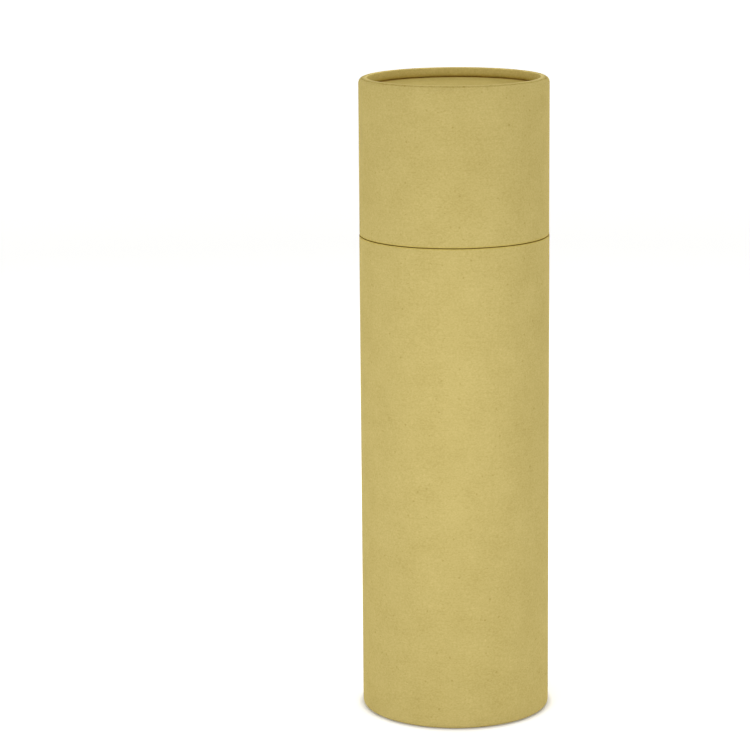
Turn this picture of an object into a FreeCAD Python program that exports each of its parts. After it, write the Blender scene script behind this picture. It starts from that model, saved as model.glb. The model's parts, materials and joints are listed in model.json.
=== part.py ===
import FreeCAD, Part
import math
import os

# Round two-piece gift tube for one bottle, standing on its foot.
# Millimetres, +Z up, origin at the middle of the foot, on the surface the tube stands on.
#
# body_tube     wound board tube, foot rolled inwards over the bottom disc
# bottom_disc   pressed board pan, held in the rolled foot
# neck_liner    inner tube glued into the body, standing up past its edge
# lid_tube      wound board tube of the lid, top edge rolled inwards over the lid disc
# lid_disc      pressed board pan, held in the rolled rim

# ---- driving dimensions ----
HEIGHT = 329.0          # foot to rim, closed
LID_HEIGHT = 80.3       # rim to the middle of the seam
SEAM_GAP = 0.36         # open line between lid and body
BODY_R = 48.5           # outside radius of the body
LID_R = 48.35           # outside radius of the lid, a hair under the body's
BOTTLE_R = 45.0         # clear radius inside, for a bottle up to 88 mm across

LINER_WALL = 1.45       # inner tube
LID_WALL = 1.6          # lid tube with its covering paper
BODY_WALL = 2.0         # body tube with its covering paper
NECK_RISE = 35.0        # how far the liner stands above the body's edge

RECESS = 5.0            # how deep the discs lie behind the rim and the foot
ROLL_LEG = 1.6          # thickness of the rolled-in leg
DISC_BOARD = 1.2        # board of both discs
GLUE = 0.05             # glue film beside a glued or clamped face

RIM_OUT = 2.9           # outside corner of the rolled rim
RIM_IN = 0.5            # inside corner of the rolled rim, pressed to a narrow edge
FOOT_OUT = 2.4          # outside corner of the rolled foot
FOOT_IN = 1.0           # inside corner of the rolled foot
FOLD_R = 0.45           # inside of the roll, round the disc's flange
ROLL_CREST = 1.6        # board left between the roll's crest and the fold inside it

EDGE = 0.25             # burnished cut edges at the seam
NECK_EDGE = 0.4         # rounded mouth of the liner
LEG_EDGE = 0.9          # rounded end of the rolled-in leg, against the disc
PAN_IN = 0.25           # inside corner of the pressed pan
PAN_OUT = 1.0           # outside corner of the pressed pan


def section(corners):
    """A closed face in the XZ plane from corners (r, z, radius), each rounded by its radius."""
    n = len(corners)
    cut = []
    for i in range(n):
        x, z, rad = corners[i]
        ax, az = corners[i - 1][0] - x, corners[i - 1][1] - z
        bx, bz = corners[(i + 1) % n][0] - x, corners[(i + 1) % n][1] - z
        la, lb = math.hypot(ax, az), math.hypot(bx, bz)
        ax, az, bx, bz = ax / la, az / la, bx / lb, bz / lb
        if rad <= 0:
            p = (x, z)
            cut.append((p, None, p))
            continue
        half = 0.5 * math.acos(max(-1.0, min(1.0, ax * bx + az * bz)))
        back = rad / math.tan(half)
        mx, mz = ax + bx, az + bz
        ml = math.hypot(mx, mz)
        reach = rad / math.sin(half) - rad
        cut.append((
            (x + ax * back, z + az * back),
            (x + mx / ml * reach, z + mz / ml * reach),
            (x + bx * back, z + bz * back),
        ))
    v = lambda p: FreeCAD.Vector(p[0], 0.0, p[1])
    edges = []
    for i in range(n):
        start, mid, end = cut[i]
        if mid is not None:
            edges.append(Part.Arc(v(start), v(mid), v(end)).toShape())
        nxt = cut[(i + 1) % n][0]
        if v(end).distanceToPoint(v(nxt)) > 1e-6:
            edges.append(Part.makeLine(v(end), v(nxt)))
    return Part.Face(Part.Wire(edges))


def turned(corners):
    """The section swept once round the Z axis."""
    face = section(corners)
    solid = face.revolve(FreeCAD.Vector(0, 0, 0), FreeCAD.Vector(0, 0, 1), 360)
    if solid.Volume < 0:
        solid.reverse()
    return solid


def flipped(corners, z):
    """The same section upside down: heights count down from z."""
    return [(r, z - h, rad) for r, h, rad in corners]


def tube_section(r_out, wall, length, out_corner, in_corner):
    """A tube that stands on its rolled edge at height 0 and ends in a plain cut edge at the given length.

    The wall turns in round the disc's flange, and the leg comes back up as far as the disc.
    """
    r_in = r_out - wall
    leg_out = r_in - 2 * GLUE - DISC_BOARD
    leg_in = leg_out - ROLL_LEG
    return [
        (r_in, length, EDGE),
        (r_out, length, EDGE),
        (r_out, 0.0, out_corner),
        (leg_in, 0.0, in_corner),
        (leg_in, RECESS, LEG_EDGE),
        (leg_out, RECESS, 0.3),
        (leg_out, ROLL_CREST, FOLD_R - 1e-4),
        (r_in, ROLL_CREST, FOLD_R - 1e-4),
    ]


def pan_section(r_in):
    """A flat disc at the recess's depth, with its flange turned back into the roll.

    r_in is the tube's inside radius.
    """
    r = r_in - GLUE
    flange_end = ROLL_CREST + 0.5
    return [
        (0.0, RECESS, 0.0),
        (r - DISC_BOARD, RECESS, PAN_IN),
        (r - DISC_BOARD, flange_end, 0.2),
        (r, flange_end, 0.2),
        (r, RECESS + DISC_BOARD, PAN_OUT),
        (0.0, RECESS + DISC_BOARD, 0.0),
    ]


body_top = HEIGHT - LID_HEIGHT - SEAM_GAP / 2
lid_len = LID_HEIGHT - SEAM_GAP / 2
liner_r = BOTTLE_R + LINER_WALL
body_in = BODY_R - BODY_WALL
lid_in = LID_R - LID_WALL
liner_foot = RECESS + DISC_BOARD
liner_top = body_top + NECK_RISE

shapes = {
    "body_tube": turned(tube_section(BODY_R, BODY_WALL, body_top, FOOT_OUT, FOOT_IN)),
    "bottom_disc": turned(pan_section(body_in)),
    "neck_liner": turned([
        (BOTTLE_R, liner_foot, EDGE),
        (liner_r, liner_foot, EDGE),
        (liner_r, liner_top, NECK_EDGE),
        (BOTTLE_R, liner_top, NECK_EDGE),
    ]),
    "lid_tube": turned(flipped(tube_section(LID_R, LID_WALL, lid_len, RIM_OUT, RIM_IN), HEIGHT)),
    "lid_disc": turned(flipped(pan_section(lid_in), HEIGHT)),
}

os.makedirs("parts", exist_ok=True)
for name, shape in shapes.items():
    if not shape.isValid() or len(shape.Solids) != 1:
        raise ValueError(name + " is not one valid solid")
    shape.Solids[0].exportStep("parts/" + name + ".step")
    b = shape.optimalBoundingBox()
    print(name, "volume mm3", round(shape.Volume, 1), "z", round(b.ZMin, 3), round(b.ZMax, 3), "r", round(b.XMax, 3))
print("lid clearance on the neck", round(lid_in - liner_r, 3), "liner", liner_foot, liner_top)
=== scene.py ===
import json
import math

import bpy
import numpy as np
from mathutils import Matrix, Vector


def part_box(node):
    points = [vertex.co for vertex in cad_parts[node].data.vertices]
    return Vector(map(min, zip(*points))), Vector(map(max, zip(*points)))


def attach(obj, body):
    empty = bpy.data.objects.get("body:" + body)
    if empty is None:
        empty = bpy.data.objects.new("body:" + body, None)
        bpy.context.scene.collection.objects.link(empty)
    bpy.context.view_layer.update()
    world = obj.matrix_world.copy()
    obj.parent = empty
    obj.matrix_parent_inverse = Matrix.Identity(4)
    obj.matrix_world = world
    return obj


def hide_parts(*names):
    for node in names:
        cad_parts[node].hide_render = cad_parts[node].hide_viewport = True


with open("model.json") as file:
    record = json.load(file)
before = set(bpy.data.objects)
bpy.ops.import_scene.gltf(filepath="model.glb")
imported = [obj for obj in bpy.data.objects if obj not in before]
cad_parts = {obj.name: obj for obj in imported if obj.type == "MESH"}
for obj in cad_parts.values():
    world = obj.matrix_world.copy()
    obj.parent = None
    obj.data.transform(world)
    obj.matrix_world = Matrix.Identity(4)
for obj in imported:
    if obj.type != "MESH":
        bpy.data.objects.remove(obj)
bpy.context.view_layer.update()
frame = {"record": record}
record = frame["record"]

MM = 0.001

# ------------------------------------------------------------------ sizes, in millimetres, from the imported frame
body_low, body_high = (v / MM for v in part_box("body_tube"))
lid_low, lid_high = (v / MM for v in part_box("lid_tube"))
neck_low, neck_high = (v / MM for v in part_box("neck_liner"))
ldisc_low, ldisc_high = (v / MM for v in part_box("lid_disc"))
bdisc_low, bdisc_high = (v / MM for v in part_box("bottom_disc"))

BODY_R, BODY_TOP = body_high.x, body_high.z
LID_R, LID_FOOT, RIM_Z = lid_high.x, lid_low.z, lid_high.z
NECK_R, NECK_FOOT, NECK_TOP = neck_high.x, neck_low.z, neck_high.z
BODY_WALL, LID_WALL, LINER_WALL = 2.0, 1.6, 1.45
DISC_BOARD = 1.2
RECESS = bdisc_high.z - DISC_BOARD          # depth of both discs behind the foot and the rim
ROLL_LEG, ROLL_CREST, FOLD_R, GLUE = 1.6, 1.6, 0.45, 0.05
RIM_OUT, RIM_IN, FOOT_OUT, FOOT_IN = 2.9, 0.5, 2.4, 1.0
EDGE, NECK_EDGE, LEG_EDGE, PAN_IN, PAN_OUT = 0.25, 0.4, 0.9, 0.25, 1.0

PAPER, BOARD, CUT = 0, 1, 2                 # material zones of a wound piece


# ------------------------------------------------------------------ section and lathe
def rounded(corners, arc_step=0.16):
    """Points (r, z, zone) of a section whose corners (r, z, radius, zone of the stretch that follows) are rounded."""
    n = len(corners)
    pts = []
    for i in range(n):
        x, z, rad, zone = corners[i]
        before = corners[i - 1][3]
        ax, az = corners[i - 1][0] - x, corners[i - 1][1] - z
        bx, bz = corners[(i + 1) % n][0] - x, corners[(i + 1) % n][1] - z
        la, lb = math.hypot(ax, az), math.hypot(bx, bz)
        ax, az, bx, bz = ax / la, az / la, bx / lb, bz / lb
        if rad <= 0:
            pts.append((x, z, zone))
            continue
        cosine = max(-1.0, min(1.0, ax * bx + az * bz))
        half = 0.5 * math.acos(cosine)
        back = rad / math.tan(half)
        mx, mz = ax + bx, az + bz
        ml = math.hypot(mx, mz)
        cx, cz = x + mx / ml * rad / math.sin(half), z + mz / ml * rad / math.sin(half)
        sx, sz = x + ax * back, z + az * back
        ex, ez = x + bx * back, z + bz * back
        a0, a1 = math.atan2(sz - cz, sx - cx), math.atan2(ez - cz, ex - cx)
        turn = (a1 - a0 + math.pi) % (2 * math.pi) - math.pi
        steps = max(4, min(16, round(abs(turn) * max(rad, 0.3) / arc_step)))
        for k in range(steps + 1):
            a = a0 + turn * k / steps
            pts.append((cx + rad * math.cos(a), cz + rad * math.sin(a), before if 2 * k < steps else zone))
    leg_top_light = []
    for p in pts:
        if leg_top_light and math.hypot(p[0] - leg_top_light[-1][0], p[1] - leg_top_light[-1][1]) < 1e-4:
            leg_top_light[-1] = p
            continue
        leg_top_light.append(p)
    if math.hypot(leg_top_light[0][0] - leg_top_light[-1][0], leg_top_light[0][1] - leg_top_light[-1][1]) < 1e-4:
        leg_top_light.pop()
    return leg_top_light


def divided(pts, longest, closed=True):
    """The same section with no stretch longer than `longest`, and finer steps beside each corner."""
    out = []
    n = len(pts)
    for i in range(n if closed else n - 1):
        a, b = pts[i], pts[(i + 1) % n]
        span = math.hypot(b[0] - a[0], b[1] - a[1])
        marks = [0.0]
        if span > 3.0:
            marks += [0.25, 0.6, 1.2, span - 1.2, span - 0.6, span - 0.25]
        marks.append(span)
        stops = []
        for lo, hi in zip(marks, marks[1:]):
            cuts = max(1, int(math.ceil((hi - lo) / longest)))
            stops += [lo + (hi - lo) * k / cuts for k in range(cuts)]
        for d in stops:
            t = d / span if span else 0.0
            out.append((a[0] + (b[0] - a[0]) * t, a[1] + (b[1] - a[1]) * t, a[2]))
    if not closed:
        out.append(pts[-1])
    return out


def lathe(name, pts, count, closed=True, shape=None, marks=()):
    """A clean quad mesh: the section turned about Z in `count` steps. A point on the axis becomes one vertex.

    shape(r, z, angle) moves each ring's points a little, in millimetres, so that no edge is dead straight.
    marks name point attributes: (name, function of r and z), such as how far an edge is rubbed.
    """
    kept = {mark: [] for mark, _ in marks}
    angles = np.arange(count) * (2 * math.pi / count) + math.pi / 2   # the first column is at the back
    verts, rows = [], []
    for r, z, _ in pts:
        if r < 1e-6:
            rows.append([len(verts)])
            verts.append((0.0, 0.0, z * MM))
            for mark, value in marks:
                kept[mark].append(value(r, z))
            continue
        for mark, value in marks:
            kept[mark] += [value(r, z)] * count
        rr, zz = np.full(count, float(r)), np.full(count, float(z))
        if shape is not None:
            rr, zz = shape(rr, zz, angles)
        base = len(verts)
        rows.append(list(range(base, base + count)))
        verts.extend(zip(rr * np.cos(angles) * MM, rr * np.sin(angles) * MM, zz * MM))
    faces, zones = [], []
    n = len(pts)
    for i in range(n if closed else n - 1):
        a, b = rows[i], rows[(i + 1) % n]
        zone = pts[i][2]
        if len(a) == 1 and len(b) == 1:
            continue
        for k in range(count):
            j = (k + 1) % count
            if len(a) == 1:
                faces.append((a[0], b[j], b[k]))
            elif len(b) == 1:
                faces.append((a[k], a[j], b[0]))
            else:
                faces.append((a[k], a[j], b[j], b[k]))
            zones.append(zone)
    mesh = bpy.data.meshes.new(name)
    mesh.from_pydata([tuple(map(float, v)) for v in verts], [], faces)
    mesh.polygons.foreach_set("material_index", zones)
    mesh.polygons.foreach_set("use_smooth", [True] * len(faces))
    for mark, _ in marks:
        mesh.attributes.new(mark, "FLOAT", "POINT").data.foreach_set("value", kept[mark])
    mesh.update()
    obj = bpy.data.objects.new(name, mesh)
    bpy.context.scene.collection.objects.link(obj)
    # outward normals
    volume = 0.0
    co = np.array([v.co for v in mesh.vertices])
    for p in mesh.polygons:
        v = [co[i] for i in p.vertices]
        for k in range(1, len(v) - 1):
            volume += float(np.dot(v[0], np.cross(v[k], v[k + 1])))
    if volume < 0:
        mesh.flip_normals()
    return obj


def ripple(angle, parts):
    """A smooth closed wave round the tube: parts are (turns, height, phase)."""
    return sum(h * np.sin(t * angle + p) for t, h, p in parts)


RIM_WAVE = [(2, 0.030, 0.4), (3, 0.022, 2.1), (5, 0.018, 4.0), (9, 0.010, 1.1), (17, 0.006, 5.2)]
LEG_WAVE = [(3, 0.050, 1.0), (7, 0.035, 3.3), (13, 0.022, 0.2), (29, 0.016, 2.6), (61, 0.012, 4.4)]
SEAM_WAVE = [(2, 0.035, 3.0), (5, 0.020, 0.7), (11, 0.012, 2.2), (23, 0.008, 5.0)]
PLEATS = [(97, 0.010, 0.9), (131, 0.009, 3.7), (173, 0.007, 1.9)]


def fade(value, start, end):
    t = np.clip((value - start) / (end - start), 0.0, 1.0)
    return t * t * (3 - 2 * t)


def tube_section(r_out, wall, length, out_corner, in_corner):
    r_in = r_out - wall
    leg_out = r_in - 2 * GLUE - DISC_BOARD
    leg_in = leg_out - ROLL_LEG
    return [
        (r_in, length, EDGE, CUT),
        (r_out, length, EDGE, PAPER),
        (r_out, 0.0, out_corner, PAPER),
        (leg_in, 0.0, in_corner, PAPER),
        (leg_in, RECESS, LEG_EDGE, CUT),
        (leg_out, RECESS, 0.3, BOARD),
        (leg_out, ROLL_CREST, FOLD_R - 1e-4, BOARD),
        (r_in, ROLL_CREST, FOLD_R - 1e-4, BOARD),
    ]


def pan_section(r_in):
    r = r_in - GLUE
    end = ROLL_CREST + 0.5
    outer = [
        (0.0, RECESS, 0.0, PAPER),
        (r - DISC_BOARD, RECESS, PAN_IN, PAPER),
        (r - DISC_BOARD, end, 0.2, CUT),
        (r, end, 0.2, BOARD),
        (r, RECESS + DISC_BOARD, PAN_OUT, BOARD),
        (0.0, RECESS + DISC_BOARD, 0.0, BOARD),
    ]
    return outer


def upside_down(corners, z):
    return [(c[0], z - c[1], c[2], c[3]) for c in corners]


def arc_angle(r, z, r_out, crest_z, direction, corner):
    """Angle down the rolled shoulder from its crest, in radians; -1 off the shoulder."""
    dr = np.asarray(r, float) - (r_out - corner)
    dz = (np.asarray(z, float) - (crest_z - direction * corner)) * direction
    return np.where((dr > 0) & (dz > 0), np.arctan2(dr, np.maximum(dz, 1e-9)), -1.0)


def rolled_shape(r_out, crest_z, seam_z, direction, corner):
    """Small unevenness of a wound tube: the roll's crest, its leg and the cut edge at the seam."""
    def shape(r, z, a):
        depth = (crest_z - z) * direction           # how far behind the crest
        turn = arc_angle(r, z, r_out, crest_z, direction, corner)
        groove = 0.035 * np.exp(-((turn - 0.46) / 0.20) ** 2) * (turn > 0)     # the die's pressed line
        r, z = r - groove * np.sin(turn), z - direction * groove * np.cos(turn)
        near = 1 - fade(depth, 3.0, 9.0)
        leg = near * (1 - fade(r, 44.6, 46.2)) * fade(depth, 0.6, 3.2)
        zz = z - direction * near * np.abs(ripple(a, RIM_WAVE)) * 0.7
        rr = r + leg * (ripple(a, LEG_WAVE) + ripple(a, PLEATS))
        edge = 1 - fade(np.abs(z - seam_z), 0.6, 4.0)
        zz = zz + edge * ripple(a, SEAM_WAVE) * 0.6
        return rr, zz
    return shape


SEGMENTS = 384

body_pts = divided(rounded(tube_section(BODY_R, BODY_WALL, BODY_TOP, FOOT_OUT, FOOT_IN)), 6.0)
lid_pts = divided(rounded(upside_down(tube_section(LID_R, LID_WALL, RIM_Z - LID_FOOT, RIM_OUT, RIM_IN), RIM_Z)), 4.0)
neck_pts = divided(rounded([
    (NECK_R - LINER_WALL, NECK_FOOT, EDGE, CUT),
    (NECK_R, NECK_FOOT, EDGE, BOARD),
    (NECK_R, NECK_TOP, NECK_EDGE, CUT),
    (NECK_R - LINER_WALL, NECK_TOP, NECK_EDGE, BOARD),
]), 8.0)


def bell(distance, width):
    return math.exp(-(distance / width) ** 2)


def crest_rub_and_highlight(r_out, crest_z, direction, corner):
    """How far the paper is rubbed on the rolled crest, with a painted highlight along the crest and the top of the
    inner leg.
    """
    def value(r, z):
        depth = (crest_z - z) * direction
        turn = float(arc_angle(r, z, r_out, crest_z, direction, corner))
        if turn > 0:
            ridge = bell(turn, 0.12)
        else:
            ridge = bell(max(0.0, depth - 0.15), 0.40) if depth < 3.0 and r < r_out - corner + 0.01 else 0.0
        return min(1.0, ridge)
    return value


def seam_corner_fibre_and_shade(seam_r, seam_z):
    """1 on the outer corner of the cut edge at the seam: partly brown fibre where the knife rubbed the paper, partly
    painted shade of the dark seam gap.
    """
    def value(r, z):
        return bell(math.hypot(r - seam_r, z - seam_z), 0.50)
    return value


def crest_band_shade_mark(r_out, crest_z, direction, corner):
    """Painted shade: 1 along a band under the crest, beside the die's pressed groove."""
    def value(r, z):
        turn = float(arc_angle(r, z, r_out, crest_z, direction, corner))
        return bell(turn - 0.45, 0.22) if turn > 0 else 0.0
    return value


def leg_painted_light(crest_z, direction, leg_r):
    """Painted light and shade: the rolled leg is lighter near the crest and darker down towards the disc, deep in the
    recess.
    """
    def value(r, z):
        depth = (crest_z - z) * direction
        if r > leg_r + 0.9:
            return 0.0
        return max(0.0, min(1.0, 1.0 - (depth - 1.8) / 2.1))
    return value


def shoulder(crest_z, direction, start, end):
    """1 on the rolled shoulder, where the paper is gathered, and 0 on the plain wall."""
    def value(r, z):
        depth = (crest_z - z) * direction
        t = max(0.0, min(1.0, (depth - start) / (end - start)))
        return 1.0 - t * t * (3 - 2 * t)
    return value


def crease_shade_depth(crest_z, direction):
    """Painted shade: 1 where the rolled leg meets the disc, 0 at the ridge."""
    def value(r, z):
        if r > 46.3:
            return 0.0
        left = RECESS - (crest_z - z) * direction
        return bell(max(0.0, left), 0.9)
    return value


def lower_leg_shade_mark(crest_z, direction):
    """Painted shade: 1 on the lower part of the rolled leg, deep in the recess, where the paper is made browner."""
    def value(r, z):
        if r > 46.3:
            return 0.0
        left = RECESS - (crest_z - z) * direction
        return bell(max(0.0, left - 1.0), 0.9)
    return value


def disc_edge_shade(outer):
    """Painted shadow of the rolled leg: 1 at the disc's edge under the leg, falling to 0 a few millimetres in."""
    def value(r, z):
        return bell(max(0.0, outer - r), 2.7)
    return value


def disc_vignette_mark(outer):
    """Painted shade: the disc is a little darker towards its edge, under the rolled rim."""
    def value(r, z):
        return max(0.0, 1.0 - max(0.0, outer - r) / 20.0)
    return value


def disc_points(corners):
    """An open section from the axis out, over the flange and back to the axis."""
    closed = rounded(corners)
    start = min(range(len(closed)), key=lambda i: (closed[i][0], abs(closed[i][1] - corners[0][1])))
    line = closed[start:] + closed[:start]
    return divided(line, 2.0, closed=False)


LID_LEG = LID_R - LID_WALL - 2 * GLUE - DISC_BOARD - ROLL_LEG       # inside radius of the rolled leg
BODY_LEG = BODY_R - BODY_WALL - 2 * GLUE - DISC_BOARD - ROLL_LEG

lid_disc_pts = disc_points(upside_down(pan_section(LID_R - LID_WALL), RIM_Z))
bottom_disc_pts = disc_points(pan_section(BODY_R - BODY_WALL))

lid_tube = lathe("lid_shell", lid_pts, SEGMENTS, shape=rolled_shape(LID_R, RIM_Z, LID_FOOT, 1, RIM_OUT), marks=[
    ("rub_and_highlight", crest_rub_and_highlight(LID_R, RIM_Z, 1, RIM_OUT)),
    ("cut_fibre_and_shade", seam_corner_fibre_and_shade(LID_R - 0.05, LID_FOOT + 0.05)),
    ("gather", shoulder(RIM_Z, 1, 0.6, 4.5)),
    ("crease_shade", crease_shade_depth(RIM_Z, 1)),
    ("lower_leg_shade", lower_leg_shade_mark(RIM_Z, 1)),
    ("crest_band_shade", crest_band_shade_mark(LID_R, RIM_Z, 1, RIM_OUT)),
    ("leg_top_light", leg_painted_light(RIM_Z, 1, LID_LEG)),
])
body_tube = lathe("body_shell", body_pts, SEGMENTS, shape=rolled_shape(BODY_R, 0.0, BODY_TOP, -1, FOOT_OUT), marks=[
    ("rub_and_highlight", crest_rub_and_highlight(BODY_R, 0.0, -1, FOOT_OUT)),
    ("cut_fibre_and_shade", seam_corner_fibre_and_shade(BODY_R - 0.05, BODY_TOP - 0.05)),
    ("gather", shoulder(0.0, -1, 0.6, 4.0)),
    ("crease_shade", crease_shade_depth(0.0, -1)),
    ("lower_leg_shade", lower_leg_shade_mark(0.0, -1)),
    ("crest_band_shade", crest_band_shade_mark(BODY_R, 0.0, -1, FOOT_OUT)),
    ("leg_top_light", leg_painted_light(0.0, -1, BODY_LEG)),
])
neck = lathe("neck_sleeve", neck_pts, SEGMENTS)
lid_disc = lathe("lid_end_board", lid_disc_pts, SEGMENTS, closed=False, marks=[("crease_shade", disc_edge_shade(LID_LEG)), ("disc_vignette_shade", disc_vignette_mark(LID_LEG))])
bottom_disc = lathe("bottom_end_board", bottom_disc_pts, SEGMENTS, closed=False,
                    marks=[("crease_shade", disc_edge_shade(BODY_LEG)), ("disc_vignette_shade", disc_vignette_mark(BODY_LEG))])


# ------------------------------------------------------------------ materials
class Nodes:
    """A few short words for building a node tree."""

    def __init__(self, name):
        self.mat = bpy.data.materials.new(name)
        self.mat.use_nodes = True
        self.tree = self.mat.node_tree
        self.tree.nodes.clear()
        self.out = self.tree.nodes.new("ShaderNodeOutputMaterial")
        self.bsdf = self.tree.nodes.new("ShaderNodeBsdfPrincipled")
        self.tree.links.new(self.bsdf.outputs["BSDF"], self.out.inputs["Surface"])
        coord = self.tree.nodes.new("ShaderNodeTexCoord")
        self.co = coord.outputs["Object"]

    def link(self, a, b):
        self.tree.links.new(a, b)

    def scaled(self, x, y, z, shift=(0, 0, 0)):
        m = self.tree.nodes.new("ShaderNodeMapping")
        m.inputs["Scale"].default_value = (x, y, z)
        m.inputs["Location"].default_value = shift
        self.link(self.co, m.inputs["Vector"])
        return m.outputs["Vector"]

    def mark(self, name):
        """A point attribute of the mesh, 0 where a mesh has none."""
        a = self.tree.nodes.new("ShaderNodeAttribute")
        a.attribute_type = "GEOMETRY"
        a.attribute_name = name
        return a.outputs["Fac"]

    def noise(self, vector, scale=1.0, detail=2.0, rough=0.5, distort=0.0):
        t = self.tree.nodes.new("ShaderNodeTexNoise")
        t.inputs["Scale"].default_value = scale
        t.inputs["Detail"].default_value = detail
        t.inputs["Roughness"].default_value = rough
        t.inputs["Distortion"].default_value = distort
        self.link(vector, t.inputs["Vector"])
        return t.outputs["Fac"]

    def math(self, op, a, b=None, c=None, clamp=False):
        m = self.tree.nodes.new("ShaderNodeMath")
        m.operation = op
        m.use_clamp = clamp
        for i, v in enumerate((a, b, c)):
            if v is None:
                continue
            if isinstance(v, (int, float)):
                m.inputs[i].default_value = v
            else:
                self.link(v, m.inputs[i])
        return m.outputs[0]

    def span(self, value, lo, hi, to_lo=0.0, to_hi=1.0, smooth=True):
        m = self.tree.nodes.new("ShaderNodeMapRange")
        m.interpolation_type = "SMOOTHSTEP" if smooth else "LINEAR"
        for k, v in (("From Min", lo), ("From Max", hi), ("To Min", to_lo), ("To Max", to_hi)):
            m.inputs[k].default_value = v
        self.link(value, m.inputs["Value"])
        return m.outputs["Result"]

    def mix(self, factor, a, b):
        m = self.tree.nodes.new("ShaderNodeMix")
        m.data_type = "RGBA"
        m.blend_type = "MIX"
        for sock, v in ((m.inputs[0], factor), (m.inputs[6], a), (m.inputs[7], b)):
            if isinstance(v, (int, float)):
                sock.default_value = v
            elif isinstance(v, (tuple, list)):
                sock.default_value = (*v[:3], 1.0)
            else:
                self.link(v, sock)
        return m.outputs[2]

    def tinted(self, color, amount, tint):
        """color times (1 + amount * tint), channel by channel."""
        m = self.tree.nodes.new("ShaderNodeVectorMath")
        m.operation = "MULTIPLY_ADD"
        m.inputs[1].default_value = tint
        m.inputs[2].default_value = (1.0, 1.0, 1.0)
        self.link(amount, m.inputs[0])
        k = self.tree.nodes.new("ShaderNodeVectorMath")
        k.operation = "MULTIPLY"
        self.link(color, k.inputs[0])
        self.link(m.outputs[0], k.inputs[1])
        return k.outputs[0]

    def shade(self, color, amount, tint=(0.88, 1.0, 1.55)):
        """color made lighter or darker by amount; blue follows most, so that the hue keeps its weight."""
        m = self.tree.nodes.new("ShaderNodeVectorMath")
        m.operation = "MULTIPLY_ADD"
        m.inputs[1].default_value = tuple(c * t for c, t in zip(color, tint))
        m.inputs[2].default_value = color[:3]
        self.link(amount, m.inputs[0])
        return m.outputs[0]

    def specks(self, vector, scale, radius, share):
        """Sparse round specks: 1 in a speck, 0 elsewhere. radius is in cells, share is the part of cells that has one."""
        t = self.tree.nodes.new("ShaderNodeTexVoronoi")
        t.feature = "F1"
        t.inputs["Scale"].default_value = scale
        t.inputs["Randomness"].default_value = 1.0
        self.link(vector, t.inputs["Vector"])
        sep = self.tree.nodes.new("ShaderNodeSeparateColor")
        self.link(t.outputs["Color"], sep.inputs[0])
        there = self.math("LESS_THAN", sep.outputs[0], share)
        near = self.span(t.outputs["Distance"], radius * 0.4, radius, 1.0, 0.0)
        return self.math("MULTIPLY", there, near)

    def brighten(self, color, factor):
        """color times factor, channel by channel."""
        m = self.tree.nodes.new("ShaderNodeVectorMath")
        m.operation = "SCALE"
        if isinstance(color, (tuple, list)):
            m.inputs[0].default_value = color[:3]
        else:
            self.link(color, m.inputs[0])
        self.link(factor, m.inputs["Scale"])
        return m.outputs[0]

    def bump(self, height, distance, strength=1.0, normal=None):
        b = self.tree.nodes.new("ShaderNodeBump")
        b.inputs["Strength"].default_value = strength
        b.inputs["Distance"].default_value = distance
        self.link(height, b.inputs["Height"])
        if normal is not None:
            self.link(normal, b.inputs["Normal"])
        return b.outputs["Normal"]


def centred(n, value, gain):
    """(value - 0.5) * gain"""
    return n.math("MULTIPLY", n.math("SUBTRACT", value, 0.5), gain)


def radius(n):
    """Distance from the tube's axis, in millimetres, and the point's three coordinates."""
    sep = n.tree.nodes.new("ShaderNodeSeparateXYZ")
    n.link(n.scaled(1000, 1000, 1000), sep.inputs[0])
    x, y, z = sep.outputs
    return n.math("SQRT", n.math("ADD", n.math("MULTIPLY", x, x), n.math("MULTIPLY", y, y))), x, y, z


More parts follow.
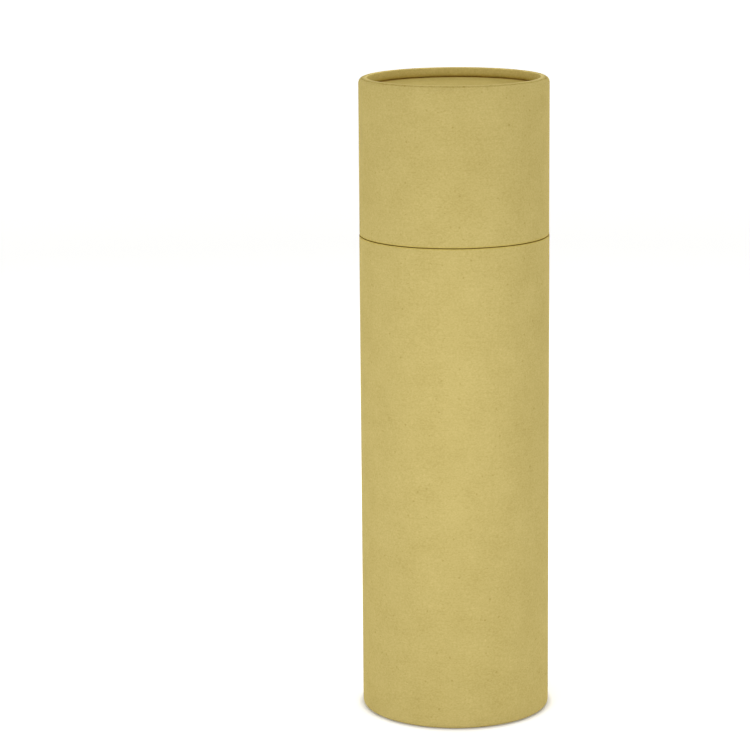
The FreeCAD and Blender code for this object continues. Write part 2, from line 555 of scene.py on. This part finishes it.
def paper_material(name, base, fibres=1.0, streak=1.0, spec=0.02, shift=0.0):
    """Matt covering paper: cloudy formation, fibre grain, sparse dark and light fibres, faint lines round the tube."""
    n = Nodes(name)
    k = shift
    cloud = n.noise(n.scaled(1000, 1000, 1000, (k, 0, 0)), 0.075, 2.0, 0.5)
    flock = n.noise(n.scaled(1000, 1000, 1150, (3 + k, 5, 1)), 0.42, 2.0, 0.55, 0.6)
    grain = n.noise(n.scaled(950, 950, 1350, (13 + k, 7, 3)), 1.00, 2.0, 0.6)
    lines = n.noise(n.scaled(60, 60, 1300, (5 + k, 9, 1)), 1.0, 2.0, 0.5)
    broad = n.noise(n.scaled(12, 12, 16, (31 + k, 4, 8)), 1.0, 1.0, 0.5)
    total = n.math("ADD", centred(n, cloud, 0.19), centred(n, flock, 0.15 * fibres))
    total = n.math("ADD", total, centred(n, grain, 0.40 * fibres))
    total = n.math("ADD", total, centred(n, lines, 0.075 * streak))
    total = n.math("ADD", total, centred(n, broad, 0.03))
    dark = n.span(n.noise(n.scaled(800, 800, 1500, (2 + k, 61, 17)), 1.0, 1.0, 0.4, 0.5), 0.70, 0.80)
    light = n.span(n.noise(n.scaled(950, 950, 1400, (71 + k, 3, 29)), 1.0, 1.0, 0.4, 0.5), 0.72, 0.80)
    total = n.math("ADD", total, n.math("MULTIPLY", dark, -0.17))
    total = n.math("ADD", total, n.math("MULTIPLY", light, 0.10))
    spot = n.specks(n.scaled(1000, 1000, 1000, (4 + k, 2, 6)), 0.17, 0.13, 0.7)
    total = n.math("ADD", total, n.math("MULTIPLY", spot, -0.17))
    # the gathered paper of the rolled shoulder has short tucks across the fold: bumps, with their shade painted darker
    # into the colour
    gather = n.mark("gather")
    tuck = n.span(n.noise(n.scaled(900, 900, 500, (19 + k, 23, 41)), 1.0, 2.0, 0.6), 0.60, 0.74)
    total = n.math("ADD", total, n.math("MULTIPLY", n.math("MULTIPLY", gather, tuck), -0.12))
    # rubbed ridge is lighter, unevenly: partly wear, partly a painted highlight along the crest
    rub_and_highlight = n.mark("rub_and_highlight")
    patchy = n.span(n.noise(n.scaled(420, 420, 420, (7 + k, 77, 5)), 1.0, 2.0, 0.6), 0.30, 0.70, 0.55, 1.0)
    total = n.math("ADD", total, n.math("MULTIPLY", n.math("MULTIPLY", rub_and_highlight, patchy), 0.13))
    # painted shade along the band under the crest, broken up a little
    crest_band_shade = n.mark("crest_band_shade")
    total = n.math("ADD", total, n.math("MULTIPLY", n.math("MULTIPLY", crest_band_shade, patchy), -0.31))
    total = n.math("ADD", total, n.math("MULTIPLY", n.math("MULTIPLY", crest_band_shade, tuck), -0.26))
    color = n.shade(base, total)
    # painted light: the top of the rolled leg is lighter, falling off down into the recess
    color = n.tinted(color, n.mark("leg_top_light"), (0.17, 0.18, 0.18))
    # painted shade: the lower leg, deep in the recess, loses blue and reads browner
    color = n.tinted(color, n.mark("lower_leg_shade"), (0.0, -0.05, -0.34))
    # the cut corner at the seam is browner: partly brown fibre, partly painted shade of the dark seam gap
    color = n.tinted(color, n.mark("cut_fibre_and_shade"), (-0.02, -0.07, -0.42))
    # painted shade where the leg meets the disc, darker and browner in the crease
    color = n.tinted(color, n.mark("crease_shade"), (-0.36, -0.47, -0.63))
    # painted shade: the disc darkens slowly towards its edge
    color = n.tinted(color, n.mark("disc_vignette_shade"), (-0.16, -0.175, -0.25))
    n.link(color, n.bsdf.inputs["Base Color"])
    n.link(n.math("ADD", centred(n, flock, 0.10), 0.86, clamp=True), n.bsdf.inputs["Roughness"])
    n.bsdf.inputs["Specular IOR Level"].default_value = spec
    height = n.math("ADD", n.math("MULTIPLY", grain, 0.7), n.math("MULTIPLY", flock, 0.5))
    height = n.math("ADD", height, n.math("MULTIPLY", n.math("MULTIPLY", gather, tuck), -0.8))
    n.link(n.bump(height, 0.00004, 0.6), n.bsdf.inputs["Normal"])
    return n.mat


def board_material(name, base, pitch=62.0):
    """Plain brown board. A wound tube has the faint slanting joint line of its ply; pitch 0 is a flat board with none."""
    n = Nodes(name)
    mm = n.scaled(1000, 1000, 1000)
    cloud = n.noise(mm, 0.20, 3.0, 0.6)
    grain = n.noise(n.scaled(1000, 1000, 1300), 1.3, 3.0, 0.65)
    fibre = n.noise(n.scaled(240, 240, 1500, (8, 1, 3)), 1.0, 2.0, 0.6)
    total = n.math("ADD", centred(n, cloud, 0.16), centred(n, grain, 0.36))
    total = n.math("ADD", total, centred(n, fibre, 0.16))
    dark = n.span(n.noise(n.scaled(700, 700, 1500, (4, 2, 9)), 1.0, 1.0, 0.5), 0.66, 0.76)
    total = n.math("ADD", total, n.math("MULTIPLY", dark, -0.25))
    height = grain
    if pitch:
        _, x, y, z = radius(n)
        turn = n.math("DIVIDE", n.math("ARCTAN2", y, x), 2 * math.pi)
        wobble = centred(n, n.noise(n.scaled(60, 60, 60), 1.0, 1.0, 0.5), 0.02)
        rise = n.math("ADD", n.math("ADD", n.math("DIVIDE", z, pitch), turn), wobble)
        place = n.math("MULTIPLY", n.math("ABSOLUTE", n.math("SUBTRACT", n.math("FRACT", rise), 0.5)), pitch)
        joint = n.span(place, 0.0, 0.45, 1.0, 0.0)
        total = n.math("ADD", total, n.math("MULTIPLY", joint, -0.16))
        height = n.math("SUBTRACT", grain, n.math("MULTIPLY", joint, 1.2))
    n.link(n.brighten(base, n.math("ADD", total, 1.0)), n.bsdf.inputs["Base Color"])
    n.link(n.math("ADD", centred(n, grain, 0.08), 0.90, clamp=True), n.bsdf.inputs["Roughness"])
    n.bsdf.inputs["Specular IOR Level"].default_value = 0.08
    n.link(n.bump(height, 0.00005, 0.6), n.bsdf.inputs["Normal"])
    return n.mat


def cut_material(name, ply, dark, skin, skins, pitch=0.36):
    """A cut edge of wound board: fine rings of plies, with the covering paper's thin edge at each radius in skins."""
    n = Nodes(name)
    r, _, _, _ = radius(n)
    wander = centred(n, n.noise(n.scaled(260, 260, 260), 1.0, 1.0, 0.5), 0.14)
    wave = n.math("SINE", n.math("MULTIPLY", n.math("ADD", r, wander), 2 * math.pi / pitch))
    glue = n.span(wave, 0.35, 0.95)
    grain = n.noise(n.scaled(1000, 1000, 1000), 2.0, 2.0, 0.6)
    color = n.mix(n.math("MULTIPLY", glue, 0.75), ply, dark)
    for at in skins:
        near = n.math("ABSOLUTE", n.math("SUBTRACT", n.math("ADD", r, n.math("MULTIPLY", wander, 0.3)), at))
        color = n.mix(n.span(near, 0.08, 0.16, 1.0, 0.0), color, skin)
    n.link(n.brighten(color, n.math("ADD", centred(n, grain, 0.35), 1.0)), n.bsdf.inputs["Base Color"])
    n.link(n.math("ADD", centred(n, grain, 0.06), 0.92, clamp=True), n.bsdf.inputs["Roughness"])
    n.bsdf.inputs["Specular IOR Level"].default_value = 0.05
    n.link(n.bump(n.math("SUBTRACT", grain, n.math("MULTIPLY", glue, 0.5)), 0.00005, 0.7), n.bsdf.inputs["Normal"])
    return n.mat


GOLD = (0.500, 0.402, 0.1424)
PLY, PLY_DARK = (0.29, 0.170, 0.035), (0.16, 0.090, 0.018)
paper = paper_material("gold_paper", GOLD)
# the disc's copy of the gold paper is a little darker and less blue: painted shade of the recessed, upward-facing disc
disc_paper = paper_material("gold_disc_paper_shaded", (0.490, 0.386, 0.119), streak=0.3, shift=40.0)
board = board_material("tube_board", (0.31, 0.207, 0.098))
disc_board = board_material("disc_board", (0.33, 0.220, 0.102), pitch=0)
liner_board = board_material("liner_board", (0.385, 0.252, 0.105))
lid_cut = cut_material("lid_cut_board", PLY, PLY_DARK, GOLD, (LID_R - 0.05, LID_LEG + 0.05))
body_cut = cut_material("body_cut_board", PLY, PLY_DARK, GOLD, (BODY_R - 0.05, BODY_LEG + 0.05))
plain_cut = cut_material("plain_cut_board", (0.33, 0.218, 0.092), (0.19, 0.121, 0.048), GOLD, ())

for obj, mats in (
    (lid_tube, (paper, board, lid_cut)),
    (body_tube, (paper, board, body_cut)),
    (neck, (liner_board, liner_board, plain_cut)),
    (lid_disc, (disc_paper, disc_board, plain_cut)),
    (bottom_disc, (disc_paper, disc_board, plain_cut)),
):
    for m in mats:
        obj.data.materials.append(m)

for obj, node, body, slot in (
    (lid_tube, "lid_tube", "lid", "covering_paper"),
    (lid_disc, "lid_disc", "lid", "disc_paper"),
    (body_tube, "body_tube", "base", "covering_paper"),
    (bottom_disc, "bottom_disc", "base", "disc_paper"),
    (neck, "neck_liner", "base", "neck_board"),
):
    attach(obj, body)
    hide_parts(node)

# ------------------------------------------------------------------ floor, light and camera
floor_mesh = bpy.data.meshes.new("floor")
S = 14.0
floor_mesh.from_pydata([(-S, -S, 0), (S, -S, 0), (S, S, 0), (-S, S, 0)], [], [(0, 1, 2, 3)])
floor = bpy.data.objects.new("floor", floor_mesh)
floor.location = (0, 0, -0.00002)
bpy.context.scene.collection.objects.link(floor)
fn = Nodes("floor_pale")
fn.bsdf.inputs["Base Color"].default_value = (0.86, 0.86, 0.86, 1)
fn.bsdf.inputs["Roughness"].default_value = 0.9
fn.bsdf.inputs["Specular IOR Level"].default_value = 0.1


# painted light: the floor glows by its own emission, which also lights the tube; the glow changes slowly with the
# distance from the tube, in metres, and is stronger behind
away = fn.tree.nodes.new("ShaderNodeVectorMath")
away.operation = "LENGTH"
fn.link(fn.co, away.inputs[0])
distance = away.outputs["Value"]
fsep = fn.tree.nodes.new("ShaderNodeSeparateXYZ")
fn.link(fn.co, fsep.inputs[0])
glow = None
stops = [(0.10, 0.505), (0.25, 0.689), (0.45, 0.689), (0.80, 0.404), (1.5, 0.404), (2.5, 0.598)]
for (r0, g0), (r1, g1) in zip(stops, stops[1:]):
    if g1 == g0:
        continue
    part = fn.span(distance, r0, r1, 0.0, g1 - g0, smooth=False)
    glow = part if glow is None else fn.math("ADD", glow, part)
glow = fn.math("ADD", glow, stops[0][1])
# painted contact shadow: the glow is cut to a quarter right under the foot
glow = fn.math("MULTIPLY", glow, fn.span(distance, 0.0475, 0.0525, 0.25, 1.0))     # little glow right under the foot
glow = fn.math("ADD", glow, fn.span(fsep.outputs[1], 0.3, 1.2, 0.0, 0.335))
fn.bsdf.inputs["Emission Color"].default_value = (1, 1, 1, 1)
fn.link(glow, fn.bsdf.inputs["Emission Strength"])
floor_mesh.materials.append(fn.mat)

# the room: a bright low horizon all round, and a dim rest
world = bpy.data.worlds.new("studio")
bpy.context.scene.world = world
world.use_nodes = True
wt = world.node_tree
wt.nodes.clear()
wo = wt.nodes.new("ShaderNodeOutputWorld")
bg = wt.nodes.new("ShaderNodeBackground")
ramp = wt.nodes.new("ShaderNodeMapRange")
fall = wt.nodes.new("ShaderNodeMapRange")
ws = wt.nodes.new("ShaderNodeSeparateXYZ")
wc = wt.nodes.new("ShaderNodeTexCoord")
join = wt.nodes.new("ShaderNodeMath")
join.operation = "SUBTRACT"
wt.links.new(wc.outputs["Generated"], ws.inputs[0])
for node, lo, hi, top in ((ramp, 0.08, 0.12, 1.96), (fall, 0.24, 0.28, 2.86)):
    node.interpolation_type = "SMOOTHSTEP"
    for k, v in (("From Min", lo), ("From Max", hi), ("To Min", 0.0), ("To Max", top)):
        node.inputs[k].default_value = v
    wt.links.new(ws.outputs["Z"], node.inputs["Value"])
wt.links.new(ramp.outputs["Result"], join.inputs[0])
wt.links.new(fall.outputs["Result"], join.inputs[1])
base_light = wt.nodes.new("ShaderNodeMath")
base_light.operation = "ADD"
base_light.inputs[1].default_value = 0.9
wt.links.new(join.outputs[0], base_light.inputs[0])
wt.links.new(base_light.outputs[0], bg.inputs["Strength"])
# the horizon is a little warmer than the rest
warm = wt.nodes.new("ShaderNodeMapRange")
for k, v in (("From Min", 0.08), ("From Max", 0.12), ("To Min", 0.0), ("To Max", 1.0)):
    warm.inputs[k].default_value = v
wt.links.new(ws.outputs["Z"], warm.inputs["Value"])
tone = wt.nodes.new("ShaderNodeMix")
tone.data_type = "RGBA"
tone.inputs[6].default_value = (1.0, 1.0, 1.0, 1.0)
tone.inputs[7].default_value = (1.0, 0.985, 0.88, 1.0)
wt.links.new(warm.outputs["Result"], tone.inputs[0])
wt.links.new(tone.outputs[2], bg.inputs["Color"])
wt.links.new(bg.outputs[0], wo.inputs["Surface"])


def soft_box(name, azimuth, elevation, reach, width, height, target_z, watts, color):
    """A rectangular soft light aimed at the axis. Azimuth 0 is the camera's side, and it grows to the right."""
    az, el = math.radians(azimuth), math.radians(elevation)
    back = Vector((math.sin(az) * math.cos(el), -math.cos(az) * math.cos(el), math.sin(el)))
    data = bpy.data.lights.new(name, "AREA")
    data.shape = "RECTANGLE"
    data.size, data.size_y, data.energy = width, height, watts
    data.color = color
    lamp = bpy.data.objects.new(name, data)
    lamp.location = Vector((0.0, 0.0, target_z)) + back * reach
    lamp.rotation_mode = "QUATERNION"
    lamp.rotation_quaternion = back.to_track_quat("Z", "Y")
    lamp.visible_camera = False
    bpy.context.scene.collection.objects.link(lamp)
    return lamp


COOL, EVEN, WARM = (1.0, 1.02, 1.15), (1.0, 1.0, 1.03), (1.0, 0.97, 0.75)
soft_box("overhead", 0, 88, 1.2, 0.8, 0.8, 0.17, 9.69, EVEN)
soft_box("front_high", -15, 45, 1.1, 0.5, 0.4, 0.17, 0.69, COOL)
soft_box("front_left_near", -25, 0, 0.25, 0.12, 0.12, 0.18, 0.0477, COOL)
soft_box("front_near", 5, 0, 0.25, 0.12, 0.12, 0.18, 0.0652, COOL)
soft_box("back_right", 150, 12, 1.0, 0.7, 0.6, 0.17, 2.87, WARM)
soft_box("back_left", -150, 12, 1.0, 0.7, 0.6, 0.17, 0.38, WARM)
soft_box("edge_left", -125, 0, 0.36, 0.06, 0.3, 0.18, 0.162, WARM)

# the camera stands 31 body radii in front of the axis, a little to one side, and looks down at the tube
R = BODY_R * MM
DIST, CAM_Z, TILT, PAN, ROLL, FOCAL = 31.0, 10.048445, 0.2047, 0.027309, -0.008404, 2979.65
cam_data = bpy.data.cameras.new("camera")
cam_data.sensor_width = 36.0
cam_data.lens = FOCAL / 750.0 * 36.0
cam_data.clip_start, cam_data.clip_end = 0.05, 60.0
cam = bpy.data.objects.new("camera", cam_data)
bpy.context.scene.collection.objects.link(cam)
forward = Vector((-math.sin(PAN) * math.cos(TILT), math.cos(PAN) * math.cos(TILT), -math.sin(TILT)))
right = Vector((math.cos(PAN), math.sin(PAN), 0.0))
up = right.cross(forward)
cr, sr = math.cos(ROLL), math.sin(ROLL)
x_axis = right * cr + up * sr
y_axis = up * cr - right * sr
m = Matrix((x_axis, y_axis, -forward)).transposed().to_4x4()
m.translation = Vector((0.0, -DIST * R, CAM_Z * R))
cam.matrix_world = m
bpy.context.scene.camera = cam

bpy.context.scene.view_settings.view_transform = "Standard"
bpy.context.scene.view_settings.look = "None"
